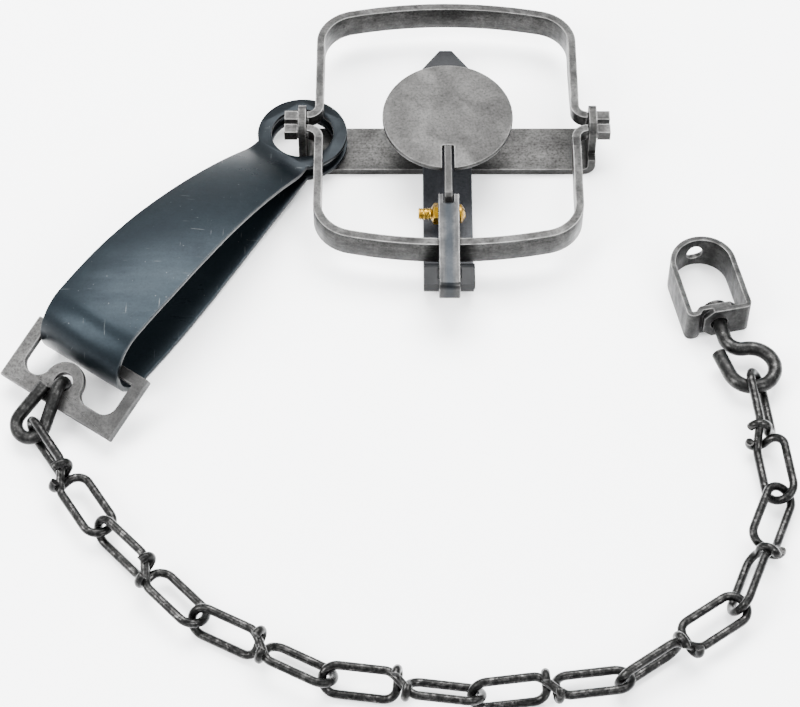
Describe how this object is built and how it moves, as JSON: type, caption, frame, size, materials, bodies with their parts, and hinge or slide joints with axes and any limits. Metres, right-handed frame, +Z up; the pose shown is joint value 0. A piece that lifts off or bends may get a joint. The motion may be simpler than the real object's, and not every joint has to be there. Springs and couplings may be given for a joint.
{
  "type": "foothold trap",
  "caption": "Long-spring foothold trap lying set: bent bar base with posts, hinged jaws, round pan with dog, folded leaf spring, and a laid double-loop chain with swivel.",
  "frame": {"origin": "on the ground under the crossing of the base bar and the cross bar", "axes": "+X along the base bar away from the spring, +Y towards the cross bar's pointed tail, +Z up"},
  "size_m": [0.2914, 0.3154, 0.0317],
  "materials": {
    "raw_steel": "mottled mill finish",
    "blued_steel": "satin blued",
    "pale_steel": "brushed",
    "zinc_steel": "dull zinc",
    "dark_wire": "rubbed dark",
    "brass": "yellow passivated"
  },
  "bodies": {
    "base": {"base_bar": "raw_steel", "cross_bar": "blued_steel", "cross_rivet": "blued_steel", "pan_bracket": "blued_steel", "bracket_rivet": "blued_steel", "pan_bolt": "brass", "pan_nut": "brass"},
    "pan": {"pan": "raw_steel", "pan_lever": "raw_steel"},
    "front_jaw": {"front_jaw": "raw_steel"},
    "back_jaw": {"back_jaw": "raw_steel"},
    "dog": {"dog": "pale_steel"},
    "spring": {"spring_lower_arm": "blued_steel", "spring_bend": "blued_steel"},
    "spring_top": {"spring_upper_arm": "blued_steel"},
    "spring_plate": {"spring_plate": "pale_steel"},
    "s_hook": {"s_hook": "dark_wire"},
    "chain_link_1": {"chain_link_1": "dark_wire"},
    "chain_link_2": {"chain_link_2": "dark_wire"},
    "chain_link_3": {"chain_link_3": "dark_wire"},
    "chain_link_4": {"chain_link_4": "dark_wire"},
    "chain_link_5": {"chain_link_5": "dark_wire"},
    "chain_link_6": {"chain_link_6": "dark_wire"},
    "chain_link_7": {"chain_link_7": "dark_wire"},
    "chain_link_8": {"chain_link_8": "dark_wire"},
    "swivel_hook": {"swivel_hook": "dark_wire"},
    "swivel_box": {"swivel_box": "zinc_steel"}
  },
  "joints": [
    {"name": "front_jaw_close", "type": "hinge", "parent": "base", "child": "front_jaw", "pos_m": [0, -0.0034, 0.0172], "axis": [-1, 0, 0], "range_deg": [0, 90]},
    {"name": "back_jaw_close", "type": "hinge", "parent": "base", "child": "back_jaw", "pos_m": [0, 0.0034, 0.0172], "axis": [1, 0, 0], "range_deg": [0, 90]},
    {"name": "dog_flip", "type": "hinge", "parent": "base", "child": "dog", "pos_m": [0, -0.08118, 0.02042], "axis": [1, 0, 0], "range_deg": [0, 200]},
    {"name": "pan_tilt", "type": "hinge", "parent": "base", "child": "pan", "pos_m": [0, -0.041, 0.0125], "axis": [-1, 0, 0], "range_deg": [0, 14]},
    {"name": "spring_swing", "type": "hinge", "parent": "base", "child": "spring", "pos_m": [-0.0572, 0.0008, 0.005], "axis": [0, 0, 1], "range_deg": [-60, 0]},
    {"name": "spring_rise", "type": "hinge", "parent": "spring", "child": "spring_top", "pos_m": [-0.12839, -0.10012, 0.0153], "axis": [0.8171, -0.5764, 0], "range_deg": [0, 6], "deforming": ["spring_bend"]},
    {"name": "plate_rock", "type": "hinge", "parent": "spring", "child": "spring_plate", "pos_m": [-0.13431, -0.10851, 0.01504], "axis": [-0.8171, 0.5764, 0], "range_deg": [0, 8]},
    {"name": "hook_swing", "type": "hinge", "parent": "spring_plate", "child": "s_hook", "pos_m": [-0.14235, -0.11939, 0.01012], "axis": [-0.1972, -0.2795, 0.9397], "range_deg": [-12, 0]},
    {"name": "chain_link_1_turn", "type": "hinge", "parent": "s_hook", "child": "chain_link_1", "pos_m": [-0.15236, -0.13751, 0.00731], "axis": [0, 0, 1], "range_deg": [-20, 0]},
    {"name": "chain_link_2_turn", "type": "hinge", "parent": "chain_link_1", "child": "chain_link_2", "pos_m": [-0.12437, -0.18062, 0.00719], "axis": [0, 0, 1], "range_deg": [-20, 0]},
    {"name": "chain_link_3_turn", "type": "hinge", "parent": "chain_link_2", "child": "chain_link_3", "pos_m": [-0.08877, -0.21749, 0.00687], "axis": [0, 0, 1], "range_deg": [-20, 0]},
    {"name": "chain_link_4_turn", "type": "hinge", "parent": "chain_link_3", "child": "chain_link_4", "pos_m": [-0.04297, -0.24082, 0.00638], "axis": [0, 0, 1], "range_deg": [-20, 0]},
    {"name": "chain_link_5_turn", "type": "hinge", "parent": "chain_link_4", "child": "chain_link_5", "pos_m": [0.00804, -0.24754, 0.00677], "axis": [0, 0, 1], "range_deg": [-20, 0]},
    {"name": "chain_link_6_turn", "type": "hinge", "parent": "chain_link_5", "child": "chain_link_6", "pos_m": [0.05816, -0.24138, 0.00717], "axis": [0, 0, 1], "range_deg": [-20, 0]},
    {"name": "chain_link_7_turn", "type": "hinge", "parent": "chain_link_6", "child": "chain_link_7", "pos_m": [0.09952, -0.21241, 0.00717], "axis": [0, 0, 1], "range_deg": [-20, 0]},
    {"name": "chain_link_8_turn", "type": "hinge", "parent": "chain_link_7", "child": "chain_link_8", "pos_m": [0.11844, -0.1656, 0.00648], "axis": [0, 0, 1], "range_deg": [-20, 0]},
    {"name": "swivel_hook_turn", "type": "hinge", "parent": "chain_link_8", "child": "swivel_hook", "pos_m": [0.11316, -0.11538, 0.00725], "axis": [0, 0, 1], "range_deg": [-15, 0]},
    {"name": "swivel_spin", "type": "hinge", "parent": "swivel_hook", "child": "swivel_box", "pos_m": [0.10154, -0.08958, 0.00725], "axis": [0.2079, -0.9781, 0], "continuous": true}
  ],
  "couplings": [
    {"joint": "back_jaw_close", "follows": "front_jaw_close", "ratio": 1},
    {"joint": "dog_flip", "follows": "front_jaw_close", "ratio": 2.222},
    {"joint": "spring_rise", "follows": "front_jaw_close", "ratio": 0.0666}
  ]
}
